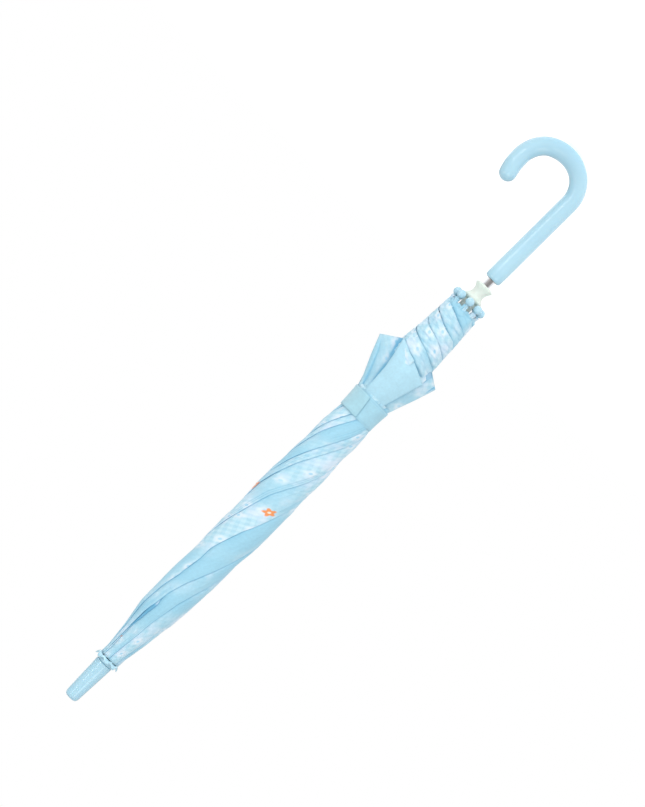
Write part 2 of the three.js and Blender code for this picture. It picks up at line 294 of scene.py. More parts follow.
def make_handle():
    mm = 0.001
    low, mouth = (1000 * corner.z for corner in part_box("handle"))
    hook_z = low + HOOK_MIDDLE + HOOK_THICK
    up = Vector((0, 0, 1))
    bore = ((4.12, 9), (4.12, mouth - 1.2), (4.5, mouth - 0.4), (5.0, mouth))
    lip = ((6.4, mouth), (7.35, mouth - 0.5), (7.95, mouth - 1.4), (8.3, mouth - 3),
           (8.48, mouth - 6))
    grip = tuple((8.58, z) for z in np.linspace(mouth - 12, -44, 9))
    rings = [(up * z * mm, up, r * mm) for r, z in bore + lip + grip]
    degrees, reach, radii = zip(*HOOK_LINE)
    line = []
    for degree in np.linspace(0, degrees[-1], 40):
        turn = math.radians(degree)
        arm = np.interp(degree, degrees, reach)
        line.append((HOOK_MIDDLE - arm * math.cos(turn), hook_z - arm * math.sin(turn),
                     np.interp(degree, degrees, radii)))
    line += [(x, hook_z + z, r) for x, z, r in HOOK_TAIL]
    for before, (x, z, r), after in zip([line[0]] + line, line, line[1:] + [line[-1]]):
        heading = Vector((before[0] - after[0], 0, before[1] - after[1])).normalized()
        rings.append((Vector((x, 0, z)) * mm, heading, r * mm))
    nose, heading, nose_r = rings[-1]
    for lift in np.linspace(0.12, 0.985, 10):
        angle = lift * math.pi / 2
        rings.append((nose - heading * nose_r * math.sin(angle), heading,
                      nose_r * math.cos(angle)))
    bm = bmesh.new()
    swept(bm, rings)
    made = finished("handle_shell", bm, blue_plastic)
    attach(made, "shaft")
    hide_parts("handle")


make_handle()


# Ferrule: a plain moulded plastic cap on the top of the shaft, a little wider at its foot, with
# a rounded nose and a small flat end. It is pushed on, so its bore is blind.
def spun_profile(profile, steps):
    """A profile of (radius, height) points, in mm, spun once about the upright axis."""
    bm = bmesh.new()
    chain = [bm.verts.new((r * 0.001, 0, z * 0.001)) for r, z in profile]
    edges = [bm.edges.new(pair) for pair in zip(chain, chain[1:])]
    if profile[0][0] > 0 and profile[-1][0] > 0:
        edges.append(bm.edges.new((chain[-1], chain[0])))
    bmesh.ops.spin(bm, geom=chain + edges, axis=(0, 0, 1), cent=(0, 0, 0), dvec=(0, 0, 0),
                   angle=2 * math.pi, steps=steps, use_merge=True)
    bmesh.ops.remove_doubles(bm, verts=bm.verts, dist=1e-6)
    return bm


def turned(name, profile, material, steps=72, lobes=None):
    """A turned piece, whose rim may be worked into lobes."""
    bm = spun_profile(profile, steps)
    if lobes:
        for vert in bm.verts:
            lobes(vert)
    bmesh.ops.recalc_face_normals(bm, faces=bm.faces)
    return finished(name, bm, material)


def raised(base, profile):
    """A profile whose heights were given from a base."""
    return [(r, base + z) for r, z in profile]


tip_z = 1000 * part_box("ferrule")[1].z
ferrule_bore = ((0, 14.3), (3.6, 14.3), (4.25, 13.7), (4.3, 0.3), (4.6, 0))
ferrule_side = ((8.5, 0), (8.7, 0.3), (8.65, 4.3), (8.2, 14.3), (7.8, 24.3), (7.4, 33.5))
ferrule_nose = ((7.15, -4.6), (6.95, -3.2), (6.6, -2.0), (6.0, -1.1), (5.2, -0.45),
                (4.4, -0.12), (3.7, 0), (0, 0))
ferrule = turned("ferrule_cap", raised(1000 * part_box("ferrule")[0].z - 0.28,
                                       ferrule_bore + ferrule_side)
                 + raised(tip_z, ferrule_nose), blue_plastic)
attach(ferrule, "shaft")
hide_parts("ferrule")


# Rosette: a thin cup washer of the same plastic between the canopy and the ferrule. Its rim has
# eight lobes that stand up and down like a flower's edge, and a boss takes the ferrule.
def ruffled(vert):
    radius = vert.co.xy.length
    share = max(0.0, (radius - 0.0088) / 0.0032)
    wave = math.cos(8 * math.atan2(vert.co.y, vert.co.x))
    vert.co.xy *= 1 + share * (0.03 + 0.05 * wave)
    vert.co.z += 0.0012 * share * wave


rosette = turned("rosette_cup", raised(1000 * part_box("rosette")[0].z, (
    (4.15, 0.4), (9.4, 0.4), (11.0, 0.7), (11.9, 1.6), (12.2, 3.2), (12.0, 3.7), (11.6, 3.6),
    (11.2, 2.9), (10.6, 2.3), (9.9, 2.2), (8.9, 2.6), (8.6, 3.2), (8.5, 5.7), (8.3, 6.0),
    (4.4, 6.0), (4.15, 5.8))), blue_plastic, steps=96, lobes=ruffled)
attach(rosette, "shaft")
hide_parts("rosette")


# Shaft: a rolled steel tube, chromed, with two slots for the catches and a crimped pin that
# stops the runner. The crown is its slotted plastic hub, tied round with a wire. The chrome
# has a painted reflection: a dark band is painted down its middle as seen from the camera,
# where it would mirror the unlit side of a room.
def metal_skin():
    """Plated or drawn metal: faint lengthwise draw marks, dull spots, and a fine bump."""
    tree, given, out = skin_group("metal_skin", [
        ("Colour", "Color", (1, 1, 1, 1)), ("Dull", "Color", (0, 0, 0, 1)),
        ("Gloss", "Float", 0.2), ("Drawn", "Float", 0.1)])
    place = node(tree, "TexCoord").outputs["Object"]
    drawn = node(tree, "Mapping", {"Vector": place, "Scale": (1, 1, 0.02)})
    marks = mottle(tree, drawn.outputs[0], 2600, 2)
    spots = ramp(tree, mottle(tree, place, 240, 5), 0.45, 0.75, high=0.6)
    worn = ramp(tree, marks, 0.3, 0.7, high=0.14)
    bump = node(tree, "Bump", {"Height": marks, "Strength": given.outputs["Drawn"],
                               "Distance": 0.0002})
    feed(tree, out, {
        "Colour": mixed(tree, spots, given.outputs["Colour"], given.outputs["Dull"]),
        "Roughness": calc(tree, "ADD", worn, given.outputs["Gloss"]),
        "Normal": bump.outputs[0]})
    return tree


def painted(tree, under, colour, mask, strength):
    """One colour over another, where its mask says."""
    return mixed(tree, calc(tree, "MULTIPLY", mask, strength, use_clamp=True), under, colour)


metal = metal_skin()
chrome, plating = blank_material("chromed_steel")
plate = dressed(plating, metal, {"Colour": (0.72, 0.73, 0.75, 1), "Dull": (0.5, 0.5, 0.52, 1),
                                 "Gloss": 0.09, "Drawn": 0.04}, Metallic=1.0)
# Painted reflection: the chrome's colour is darkened where it faces the camera.
facing = node(plating, "LayerWeight", {"Blend": 0.35}).outputs["Facing"]
painted_reflection_band = painted(plating, plate.outputs["Colour"], (0.13, 0.115, 0.11, 1),
                    ramp(plating, facing, 0.06, 0.22, 1.0, 0.0), 0.85)
feed(plating, plating.nodes["Principled BSDF"], {"Base Color": painted_reflection_band})
spring_steel = skinned("bright_spring_steel", metal,
                       {"Colour": (0.6, 0.6, 0.62, 1), "Dull": (0.4, 0.38, 0.36, 1),
                        "Gloss": 0.24, "Drawn": 0.12}, Metallic=1.0)
rib_steel = skinned("dull_rib_steel", metal,
                    {"Colour": (0.5, 0.51, 0.53, 1), "Dull": (0.33, 0.33, 0.34, 1),
                     "Gloss": 0.32, "Drawn": 0.15}, Metallic=1.0)
frosted_plastic = skinned(
    "frosted_white_plastic", plastic_skin,
    {"Colour": (0.75, 0.82, 0.745, 1), "Deep": (0.67, 0.76, 0.70, 1), "Gloss": 0.42,
     "Peel": 0.01},
    Subsurface_Weight=0.35, Subsurface_Scale=0.004, Subsurface_Radius=(0.8, 1.0, 0.95))


def block(low, high):
    """A closed box between two corners, for cutting a slot."""
    bm = bmesh.new()
    bmesh.ops.create_cube(bm, size=1)
    bmesh.ops.scale(bm, verts=bm.verts, vec=[(b - a) * 0.001 for a, b in zip(low, high)])
    bmesh.ops.translate(bm, verts=bm.verts, vec=[(b + a) * 0.0005 for a, b in zip(low, high)])
    return bm


def slotted(made, cutters):
    """Cut each bmesh of cutters out of the piece, and keep the result as its mesh."""
    tools = [finished("cutter", bm, smooth=False) for bm in cutters]
    for tool in tools:
        cutting = made.modifiers.new("slot", "BOOLEAN")
        cutting.operation = "DIFFERENCE"
        cutting.solver = "EXACT"
        cutting.object = tool
    whole = bpy.data.meshes.new_from_object(
        made.evaluated_get(bpy.context.evaluated_depsgraph_get()))
    made.modifiers.clear()
    made.data = whole
    for tool in tools:
        bpy.data.objects.remove(tool)


shaft_low, shaft_high = (1000 * corner.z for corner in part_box("shaft_tube"))
tube = turned("shaft_tube_chromed", [
    (3.4, shaft_low + 0.2), (3.6, shaft_low), (3.85, shaft_low), (4.0, shaft_low + 0.3),
    (4.0, 60), (4.0, 130), (4.0, 200), (4.0, 270), (4.0, 360), (4.0, 450),
    (4.0, shaft_high - 0.3), (3.85, shaft_high), (3.6, shaft_high), (3.4, shaft_high - 0.2),
    (3.4, 300), (3.4, 100)], chrome)
slotted(tube, [block((-1.2, -6, 72), (1.2, -2, 101)), block((-1.2, -6, 273), (1.2, -2, 302))])
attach(tube, "shaft")
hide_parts("shaft_tube")


def refinish(names, material):
    """Give kept CAD pieces their finish."""
    for name in names:
        kept = frame["nodes"][name]
        for slot in kept.material_slots:
            slot.material = material


refinish(["stop_pin", "crown_ring", "runner_ring", "top_catch", "bottom_catch"]
         + ["rivet_%d" % k for k in range(1, 9)], spring_steel)
refinish(["crown"], frosted_plastic)


# Runner: the frosted white slide that opens the umbrella. Its lower end is a flange pulled out
# into points for the fingers, then a waist, and a slotted collar that holds the stretchers.
def pointed(vert):
    radius = vert.co.xy.length
    if radius < 0.0076 or vert.co.z > 0.1105:
        return
    turn = (math.atan2(vert.co.y, vert.co.x) / (2 * math.pi) * 8) % 1
    point = (abs(turn - 0.5) * 2) ** 1.6
    vert.co.xy *= 1 + (radius - 0.0074) / 0.002 * (0.13 * point - 0.05)


spool = raised(1000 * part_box("runner")[0].z, (
    (4.3, 0.2), (4.5, 0), (7.4, 0), (8.1, 0.4), (8.9, 1.3), (8.9, 2.1), (8.3, 3.4), (7.2, 5.4),
    (6.6, 7.2), (6.4, 9.5), (6.9, 12), (8.1, 14), (9.1, 15.2), (9.4, 16.2), (9.1, 17.4),
    (8.2, 18.4), (6.8, 18.9), (6.5, 19.4)))
sleeve = [(6.5, 84), (6.5, 90), (6.5, 98), (6.5, 104), (6.55, 109.4), (7.0, 110.4)]
collar = [(8.8, 111.4), (9.5, 112.2), (9.6, 113), (9.6, 122.6), (9.3, 123.5), (8.8, 124),
          (4.6, 124), (4.3, 123.8), (4.3, 100), (4.3, 78)]
runner = turned("runner_slide", spool + sleeve + collar, frosted_plastic, steps=96,
                lobes=pointed)
runner_cuts = [block((-1.3, -12, 80), (1.3, -3, 101))]
for k in range(8):
    gap = block((5.2, 1.1, 116.2), (12, 3.1, 126))
    bmesh.ops.rotate(gap, verts=gap.verts, cent=(0, 0, 0),
                     matrix=Matrix.Rotation(math.radians(45 * k), 3, "Z"))
    runner_cuts.append(gap)
slotted(runner, runner_cuts)
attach(runner, "runner")
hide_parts("runner")


# Ribs and stretchers: pressed steel channels. A rib is pinned in the crown and runs to its ball;
# a stretcher joins the runner's collar to the rib. Each has a rounded eye where it is pinned.
def channel(bm, width, depth, wall, length):
    """A channel open on its inner side, pressed from strip, from the origin down -Z."""
    w, d, t = width / 2, depth / 2, wall
    outline = [(-d, -w), (d, -w), (d, w), (-d, w), (-d, w - t), (d - t, w - t),
               (d - t, t - w), (-d, t - w)]
    section = bmesh.ops.contextual_create(
        bm, geom=[bm.verts.new((x, y, 0)) for x, y in outline])["faces"]
    drawn = bmesh.ops.extrude_face_region(bm, geom=section, use_keep_orig=True)
    far = [item for item in drawn["geom"] if isinstance(item, bmesh.types.BMVert)]
    bmesh.ops.translate(bm, verts=far, vec=(0, 0, -length))


def eye(bm, radius, width, height):
    """The flattened round end of a strip, across the pin."""
    made = bmesh.ops.create_cone(bm, cap_ends=True, segments=20, radius1=radius, radius2=radius,
                                 depth=width)
    bmesh.ops.rotate(bm, verts=made["verts"], cent=(0, 0, 0),
                     matrix=Matrix.Rotation(math.pi / 2, 3, "X"))
    bmesh.ops.translate(bm, verts=made["verts"], vec=(0, 0, height))


def laid_along(bm, start, end, azimuth, aside=0.0):
    """Put a strip made down -Z between two (radius, height) points at an azimuth."""
    lean = math.atan2(end[0] - start[0], start[1] - end[1])
    place = (Matrix.Rotation(azimuth, 4, "Z") @ Matrix.Translation((start[0], aside, start[1]))
             @ Matrix.Rotation(-lean, 4, "Y"))
    bmesh.ops.transform(bm, matrix=place, verts=bm.verts)
    bmesh.ops.recalc_face_normals(bm, faces=bm.faces)


PIVOT = (0.0065, 0.536)
RIB_LEAN = math.radians(1.00304)
RIB_LENGTH = 0.457
BALL = (PIVOT[0] + RIB_LENGTH * math.sin(RIB_LEAN), PIVOT[1] - RIB_LENGTH * math.cos(RIB_LEAN))
STRETCHER_TOP = (0.01018, 0.32603)
STRETCHER_FOOT = (0.007, 0.118)
STRETCHER_LENGTH = 0.208056
for k in range(1, 9):
    azimuth = math.radians(45 * (k - 1))
    bm = bmesh.new()
    channel(bm, 0.0022, 0.0014, 0.0003, RIB_LENGTH - 0.002)
    eye(bm, 0.0014, 0.0016, 0)
    laid_along(bm, PIVOT, BALL, azimuth)
    rib = finished("rib_channel_%d" % k, bm, rib_steel, smooth=False)
    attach(rib, "rib_%d" % k)
    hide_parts("rib_%d" % k)
    bm = bmesh.new()
    channel(bm, 0.0012, 0.002, 0.0003, STRETCHER_LENGTH)
    for height in (0, -STRETCHER_LENGTH):
        eye(bm, 0.0013, 0.0012, height)
    laid_along(bm, STRETCHER_TOP, STRETCHER_FOOT, azimuth, aside=0.0021)
    stretcher = finished("stretcher_channel_%d" % k, bm, rib_steel, smooth=False)
    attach(stretcher, "stretcher_%d" % k)
    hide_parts("stretcher_%d" % k)


# Ball tips: glossy light blue balls pressed on the ends of the ribs, each with a short neck that
# the canopy's corner is tied to.
BALL_RADIUS = 4.2


def make_ball(k):
    profile = [(0, 9.5), (1.1, 9.5), (1.6, 9.5), (1.7, 9.2), (1.7, 7.4), (2.1, 7.0), (2.1, 6.2),
               (1.7, 5.8), (1.6, 4.4)]
    for turn in np.linspace(0.13, 1, 14) * math.pi:
        profile.append((BALL_RADIUS * math.sin(turn), BALL_RADIUS * math.cos(turn)))
    bm = spun_profile(profile, 32)
    laid_along(bm, BALL, (BALL[0] + math.sin(RIB_LEAN), BALL[1] - math.cos(RIB_LEAN)),
               math.radians(45 * (k - 1)))
    made = finished("ball_end_%d" % k, bm, blue_plastic)
    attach(made, "rib_%d" % k)
    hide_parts("ball_tip_%d" % k)


for k in range(1, 9):
    make_ball(k)


# Canopy, furled: thin printed polyester in eight gores. Each gore is folded down its middle, and
# the folded flaps are wound round the ribs, each flap lying over the next. Most of the roll
# covers a flap's root, so a flap is made from under its neighbour to its free, turned fold.
def woven_skin():
    """Plain weave: the threads' height and a faint change of tone, on coordinates in metres."""
    tree, given, out = skin_group("woven_skin", [
        ("Vector", "Vector", (0, 0, 0)), ("Pitch", "Float", 3000.0),
        ("Colour", "Color", (1, 1, 1, 1)), ("Bump", "Float", 0.2)])
    cloth = given.outputs["Vector"]
    threads = node(tree, "VectorMath", {0: cloth, "Scale": given.outputs["Pitch"]},
                   operation="SCALE")
    split = node(tree, "SeparateXYZ", {0: threads.outputs[0]})
    cross = calc(tree, "MULTIPLY", calc(tree, "SINE", split.outputs["X"]),
                 calc(tree, "SINE", split.outputs["Y"]))
    slub = mottle(tree, cloth, 420, 3)
    tone = calc(tree, "MULTIPLY", ramp(tree, slub, 0.3, 0.7, 0.96, 1.03),
                ramp(tree, cross, -1, 1, 0.975, 1.02))
    colour = node(tree, "VectorMath", {0: given.outputs["Colour"], "Scale": tone},
                  operation="SCALE")
    creased = mottle(tree, cloth, 70, 4, Distortion=0.6)
    bump = node(tree, "Bump", {"Height": calc(tree, "MULTIPLY_ADD", creased, 6.0, cross),
                               "Strength": given.outputs["Bump"], "Distance": 0.0001})
    feed(tree, out, {"Colour": colour.outputs[0], "Normal": bump.outputs[0],
                     "Roughness": ramp(tree, slub, 0.3, 0.7, 0.52, 0.64)})
    return tree


woven = woven_skin()


def vector_calc(tree, operation, *values):
    """The vector that a Vector Math node gives."""
    return node(tree, "VectorMath", dict(enumerate(values)), operation=operation).outputs[0]


def blossoms(tree, cloth, pitch, jitter, shift, size, petals, depth, soft):
    """Flowers scattered one to a cell: masks of their petals and of their centres."""
    cells = vector_calc(tree, "MULTIPLY_ADD", cloth, (1 / pitch, 1 / pitch, 0), shift)
    corner = vector_calc(tree, "FLOOR", cells)
    chance = node(tree, "TexWhiteNoise", {"Vector": corner})
    moved = vector_calc(tree, "MULTIPLY_ADD", chance.outputs["Color"], (jitter * pitch,) * 3,
                        (-(0.5 + jitter / 2) * pitch,) * 3)
    inside = vector_calc(tree, "SUBTRACT", cells, corner)
    local = vector_calc(tree, "MULTIPLY_ADD", inside, (pitch, pitch, 0), moved)
    flat = vector_calc(tree, "MULTIPLY", local, (1, 1, 0))
    away = node(tree, "VectorMath", {0: flat}, operation="LENGTH").outputs["Value"]
    sides = node(tree, "SeparateXYZ", {0: flat})
    angle = calc(tree, "ARCTAN2", sides.outputs["Y"], sides.outputs["X"])
    spun = calc(tree, "MULTIPLY", chance.outputs["Value"], 6.283)
    lobe = calc(tree, "COSINE", calc(tree, "MULTIPLY_ADD", angle, float(petals), spun))
    reach = calc(tree, "MULTIPLY_ADD", lobe, depth * size, (1 - depth) * size)
    petal = ramp(tree, calc(tree, "DIVIDE", away, reach), 1 - soft, 1.08, 1.0, 0.0)
    return petal, ramp(tree, away, 0.16 * size, 0.3 * size, 1.0, 0.0)


SKY = (0.425, 0.70, 0.82, 1)
CHECKS = 720.0
DAISY_PITCH = 0.0205
MOTIF_PITCH = 0.115
THREADS = 14000.0


def canopy_print():
    """Sky blue polyester printed with faint checks, white daisies and small orange flowers, with
    painted shade at its folds and its stitch lines darkened.
    """
    made, tree = blank_material("printed_canopy_polyester")
    cloth = node(tree, "TexCoord").outputs["UV"]
    drift = mottle(tree, cloth, 13, 1.5)
    patch = ramp(tree, drift, 0.38, 0.52)
    deep = ramp(tree, drift, 0.46, 0.36)
    flowery = ramp(tree, drift, 0.40, 0.46)
    split = node(tree, "SeparateXYZ", {0: cloth})
    run = calc(tree, "MULTIPLY", split.outputs["X"], CHECKS)
    bands = []
    for climb in (CHECKS, -CHECKS):
        both = calc(tree, "MULTIPLY_ADD", split.outputs["Y"], climb, run)
        bands.append(ramp(tree, calc(tree, "SINE", both), -0.25, 0.25, high=0.5))
    checked = calc(tree, "MULTIPLY", calc(tree, "ADD", *bands), patch)
    cloud = ramp(tree, mottle(tree, cloth, 55, 2), 0.47, 0.64)
    clouded = calc(tree, "MULTIPLY", cloud, patch)
    petal, centre = blossoms(tree, cloth, DAISY_PITCH, jitter=0.35, shift=(0.3, 0.7, 0),
                             size=0.0062, petals=5, depth=0.10, soft=0.45)
    orange, heart = blossoms(tree, cloth, MOTIF_PITCH, jitter=0.0, shift=(0.5, 0.5, 0),
                             size=0.0056, petals=5, depth=0.2, soft=0.2)
    # Painted shade: deep blue where the mesh marks folds, lapping layers and creases; stitch lines
    # are marked the same way.
    fold = node(tree, "Attribute", attribute_name="shade_and_stitch_marks").outputs["Fac"]
    colour = SKY
    for ink, mask, strength in (
            ((0.30, 0.62, 0.79, 1), deep, 0.55),
            ((0.66, 0.86, 0.93, 1), checked, 0.62),
            ((0.75, 0.84, 0.96, 1), clouded, 0.7),
            ((0.85, 0.91, 0.96, 1), calc(tree, "MULTIPLY", petal, flowery), 0.62),
            ((0.40, 0.70, 0.88, 1), calc(tree, "MULTIPLY", centre, flowery), 0.9),
            ((0.91, 0.28, 0.05, 1), orange, 0.95),
            ((0.93, 0.86, 0.72, 1), heart, 0.95),
            ((0.07, 0.37, 0.60, 1), fold, 0.9)):
        colour = painted(tree, colour, ink, mask, strength)
    dressed(tree, woven, {"Vector": cloth, "Pitch": THREADS, "Colour": colour, "Bump": 0.35},
            Sheen_Weight=0.25, Sheen_Roughness=0.4)
    return made


canopy_fabric = canopy_print()


def sewn(name, columns, rows, place, thick=0.00015, material=None):
    """A sheet from a grid: place(u, v) gives each point, its place in the cut, and its painted
    shade and stitch marks.
    """
    bm = bmesh.new()
    bmesh.ops.create_grid(bm, x_segments=columns, y_segments=rows, size=0.5)
    cut = bm.loops.layers.uv.new("cut")
    # This float is painted shade at folds and under lapping layers; it also marks stitch lines.
    shade = bm.verts.layers.float.new("shade_and_stitch_marks")
    flat = {}
    for vert in bm.verts:
        point, lay, dark = place(vert.co.x + 0.5, vert.co.y + 0.5)
        flat[vert] = lay
        vert.co = point
        vert[shade] = dark
    for face in bm.faces:
        for corner in face.loops:
            corner[cut].uv = flat[corner.vert]
    made = finished(name, bm, material or canopy_fabric)
    if thick:
        wall = made.modifiers.new("cloth", "SOLIDIFY")
        wall.thickness = thick
        wall.offset = 0
    return made


def smooth(share):
    share = min(1.0, max(0.0, share))
    return share * share * (3 - 2 * share)


DRIFT = ((50, 0.4), (84, 1.2), (105, 0.3), (128, 1.2), (160, 1.9), (173, 2.2), (192, 1.8),
         (228, 2.9), (262, 1.6), (275, 1.3), (290, 2.0), (330, 1.5), (364, 1.7), (400, 1.2),
         (440, 0.4), (470, 1.0), (500, 0.7), (506, 0.0))


def around(azimuth, radius, down):
    """A point of the roll, which sags a little aside: degrees, and mm out and down."""
    turn = math.radians(azimuth)
    aside = radius * math.cos(turn) - along(DRIFT, down)
    return Vector((aside, radius * math.sin(turn), tip_z - down)) * 0.001


def rough(a, b, c=0.0):
    return noise.noise(Vector((a, b, c)))


ROLL_RADIUS = ((50, 10.0), (60, 10.1), (72, 11.8), (84, 13.5), (98, 15.4), (111, 17.5),
               (128, 18.3), (146, 19.0), (160, 19.2), (173, 18.9), (184, 19.1), (200, 19.6),
               (218, 20.3), (250, 20.3), (262, 20.9), (275, 20.3), (305, 20.0), (323, 18.9),
               (344, 19.2), (355, 18.5), (364, 17.4), (390, 18.0))
ROLL_TURN = ((50, 0), (111, 22), (132, 30), (150, 45), (168, 66), (184, 88), (200, 108),
             (260, 186), (314, 267), (364, 349), (390, 391))
FOLDS = (((50, 276), (390, 276)),
         ((50, 317), (87, 320), (103, 312), (117, 310), (130, 330), (390, 334)),
         ((50, 330), (88, 326), (119, 319), (390, 322)),
         ((50, 353), (150, 354), (173, 372), (187, 389), (220, 402), (390, 404)),
         ((50, 412), (214, 459), (260, 470), (390, 473)),
         ((50, 470), (266, 527), (294, 538), (390, 534)),
         ((50, 520), (293, 561), (390, 563)),
         ((50, 580), (307, 602), (330, 613), (390, 612)))
LAP = 0.85
ROLL_TOP, ROLL_FOOT = 50.8, 390
FOLD_START, FOLD_END = 0.74, 0.82
SPAN_OVER, SPAN_UNDER = 105, 40


def along(table, down):
    return float(np.interp(down, *zip(*table)))


def fold_azimuth(index, down):
    """Where a flap's free fold lies; the flap after the last is the first, a turn on."""
    turns, number = divmod(index, 8)
    return along(FOLDS[number], down) - along(ROLL_TURN, down) + 360 * turns


def flap_point(k, motif, u, v):
    """Outer layer from under the neighbour to the fold, round it, and back under itself."""
    down = ROLL_TOP + v * (ROLL_FOOT - ROLL_TOP)
    edge = fold_azimuth(k, down)
    gap = max(8.0, fold_azimuth(k + 1, down) - edge)
    radius = along(ROLL_RADIUS, down)
    if u < FOLD_START:
        back = SPAN_OVER * (1 - u / FOLD_START) ** 1.35
        under = 0.0
    elif u < FOLD_END:
        bend = (u - FOLD_START) / (FOLD_END - FOLD_START) * math.pi
        back = -math.sin(bend) * 0.9
        under = 0.26 * (1 - math.cos(bend))
    else:
        share = (u - FOLD_END) / (1 - FOLD_END)
        back = SPAN_UNDER * share
        under = 0.52 + 0.2 * share
    azimuth = edge + back
    # Painted shade: a painted shadow with a wider halo beside the fold of each flap lying over
    # this one, and darker colour at its own fold, along its pleats and on its turned-under layer.
    covered = shadow = 0.0
    for above in (1, 2, 3):
        past = azimuth - fold_azimuth(k + above, down)
        covered += smooth((past + 8) / 9)
        if past < 6:
            near = min(0.0, past)
            width = 2.8 + 2.4 * rough(down / 30, k * 3.1, above)
            halo = 0.40 + 1.1 * max(0.0, rough(down / 38, k * 2.3, 8.0))
            shadow = max(shadow, math.exp(near / max(1.2, width)),
                         halo * math.exp(near / 13))
    puff = 0.55 * math.sin(math.pi * min(1.0, max(0.0, back / gap))) * min(1.0, gap / 45)
    lay = azimuth + along(ROLL_TURN, down)
    crumple = 0.30 * rough(lay / 7, down / 55, k * 7.7) + 0.16 * rough(lay / 3, down / 16, k)
    level = radius + puff + crumple - LAP * covered - under
    depth = 0.55 + 0.45 * rough(down / 26, k * 5.3, 4.0)
    fold_edge_shade = math.exp(-max(0.0, back) / 1.6) * 0.18
    pleat = math.exp(-((back - 6.5 - 3 * rough(down / 60, k * 1.7, 2.0)) / 1.1) ** 2)
    pleat = max(pleat, math.exp(-((back - 13 - 5 * rough(down / 70, k * 2.9, 6.0)) / 1.3) ** 2))
    pleat *= min(1.0, 2.2 * max(0.0, rough(down / 50, k * 6.1, 5.0) + 0.12))
    level -= 0.14 * pleat
    dark = max(shadow * max(0.2, depth), fold_edge_shade, 0.42 * pleat)
    if under:
        dark = max(dark, 0.7)
    # Painted shade on the first flap between 78 and 121 mm down, where its root lies in shade.
    if k == 1:
        dark = max(dark, 0.95 * smooth((down - 78) / 14) * smooth((121 - down) / 6))
    level = max(level, 5.4)
    motif_azimuth, motif_down = motif
    across = (azimuth - (motif_azimuth + along(ROLL_TURN, motif_down)
                         - along(ROLL_TURN, down))) * math.pi / 180 * 0.0195
    lean = 0.18 * (down - motif_down) * 0.001
    return around(azimuth, level, down), (across + lean, (down - motif_down) * 0.001), dark


def furls(made):
    """The roll rides the shaft, on a mesh of its own."""
    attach(made, "shaft")
    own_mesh(made)


MOTIFS = ((40, 300), (150, 190), (95, 330), (254, 248), (60, 200), (350, 256), (120, 110),
          (30, 150))
for k, motif in enumerate(MOTIFS):
    flap = sewn("furled_flap_%d" % (k + 1), 60, 116,
                lambda u, v, k=k, motif=motif: flap_point(k, motif, u, v))
    furls(flap)
    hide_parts("canopy_panel_%d" % (k + 1))


# Canopy's skirt: below the strap the folded middles of the gores' hems stand away from the roll
# as pointed wings, with one broad smooth fold lying over them on each side.
def on_side(turn, down, lateral, depth):
    """A point given square to one side of the roll, in mm: down, to the right, and outwards."""
    point = Vector((-lateral, -depth, tip_z - down)) * 0.001
    return Matrix.Rotation(turn, 3, "Z") @ point


def skirt_point(turn, left, right, swell, folds, seed, shading, u, v):
    """Between two edges, each a table of (down, lateral, depth), with its sides turned under."""
    fold_left, fold_right = folds
    first, last = -0.2 * fold_left, 1 + 0.2 * fold_right
    reach = first + (last - first) * u
    share = -reach if reach < 0 else (2 - reach if reach > 1 else reach)
    under = smooth(max(-reach, reach - 1) / 0.04) if (reach < 0 or reach > 1) else 0.0
    ends = []
    for edge in (left, right):
        steps = np.linspace(0, 1, len(edge))
        ends.append([float(np.interp(v, steps, column)) for column in zip(*edge)])
    down, lateral, depth = (a + (b - a) * share for a, b in zip(*ends))
    lateral *= 0.93 if turn else 1.0
    bulge = swell[0] + (swell[1] - swell[0]) * v
    depth += bulge * 4 * share * (1 - share) - 0.8 * under
    depth += (0.5 * rough(share * 4, v * 2.2, seed) + 0.25 * rough(share * 9, v * 5, seed + 3)) * (
        1 - under)
    depth += shading(share, v, "ridge")
    # Painted shade: each part's shading darkens it along its folds and creases, under the fold
    # lying over it, and on its turned-under layer.
    dark = max(shading(share, v, "shade"), 0.6 * under)
    width = math.dist(ends[0], ends[1])
    return (on_side(turn, down, lateral, depth),
            ((share - 0.5) * width * 0.001 + 0.02 * seed, (down - 383) * 0.001 + 0.31 * seed),
            dark)


def broad_fold(share, v, what):
    if what == "ridge":
        return 0.35 * math.sin(share * 9 + v * 3) * v * (1 - v)
    near_left = math.exp(-share / 0.02) * (0.55 + 0.45 * rough(v * 6, 2))
    return min(1.0, near_left * 0.6 + 0.55 * math.exp(-(1 - share) / 0.02))


def wing_left(share, v, what):
    crease = 0.2 + 0.16 * (1 - v) - 0.14 * max(0.0, v - 0.75) * 4
    off = (share - crease) / 0.05
    live = smooth((0.97 - v) / 0.2)
    if what == "ridge":
        return 0.9 * live * (math.exp(-((share - crease * 0.4) / 0.12) ** 2)
                             - 0.8 * math.exp(-off ** 2))
    # Painted shadow under the broad fold that lies over the wing.
    under_kite = math.exp(-max(0.0, 0.80 - share) / 0.10) * smooth((v - 0.12) / 0.3)
    broad = 0.9 + 1.8 * math.exp(-((v - 0.3) / 0.18) ** 2)
    return min(1.0, 0.6 * live * math.exp(-(off / broad) ** 2) * (1.05 - 0.6 * v)
               + 1.05 * under_kite * (0.8 + 0.3 * rough(v * 5, 7)))


def wing_right(share, v, what):
    if what == "ridge":
        return 0.25 * math.sin(share * 8 + v * 4)
    # Painted shadow along the side that runs under the broad fold.
    return min(1.0, 0.65 * math.exp(-max(0.0, share - 0.30) / 0.10) * smooth(v * 4))


def hem_strip(share, v, what):
    if what == "ridge":
        return 0.3 * math.exp(-((v - 0.85) / 0.1) ** 2)
    return min(1.0, 0.55 * math.exp(-v / 0.10) + 0.2 * math.exp(-((v - 0.8) / 0.04) ** 2))


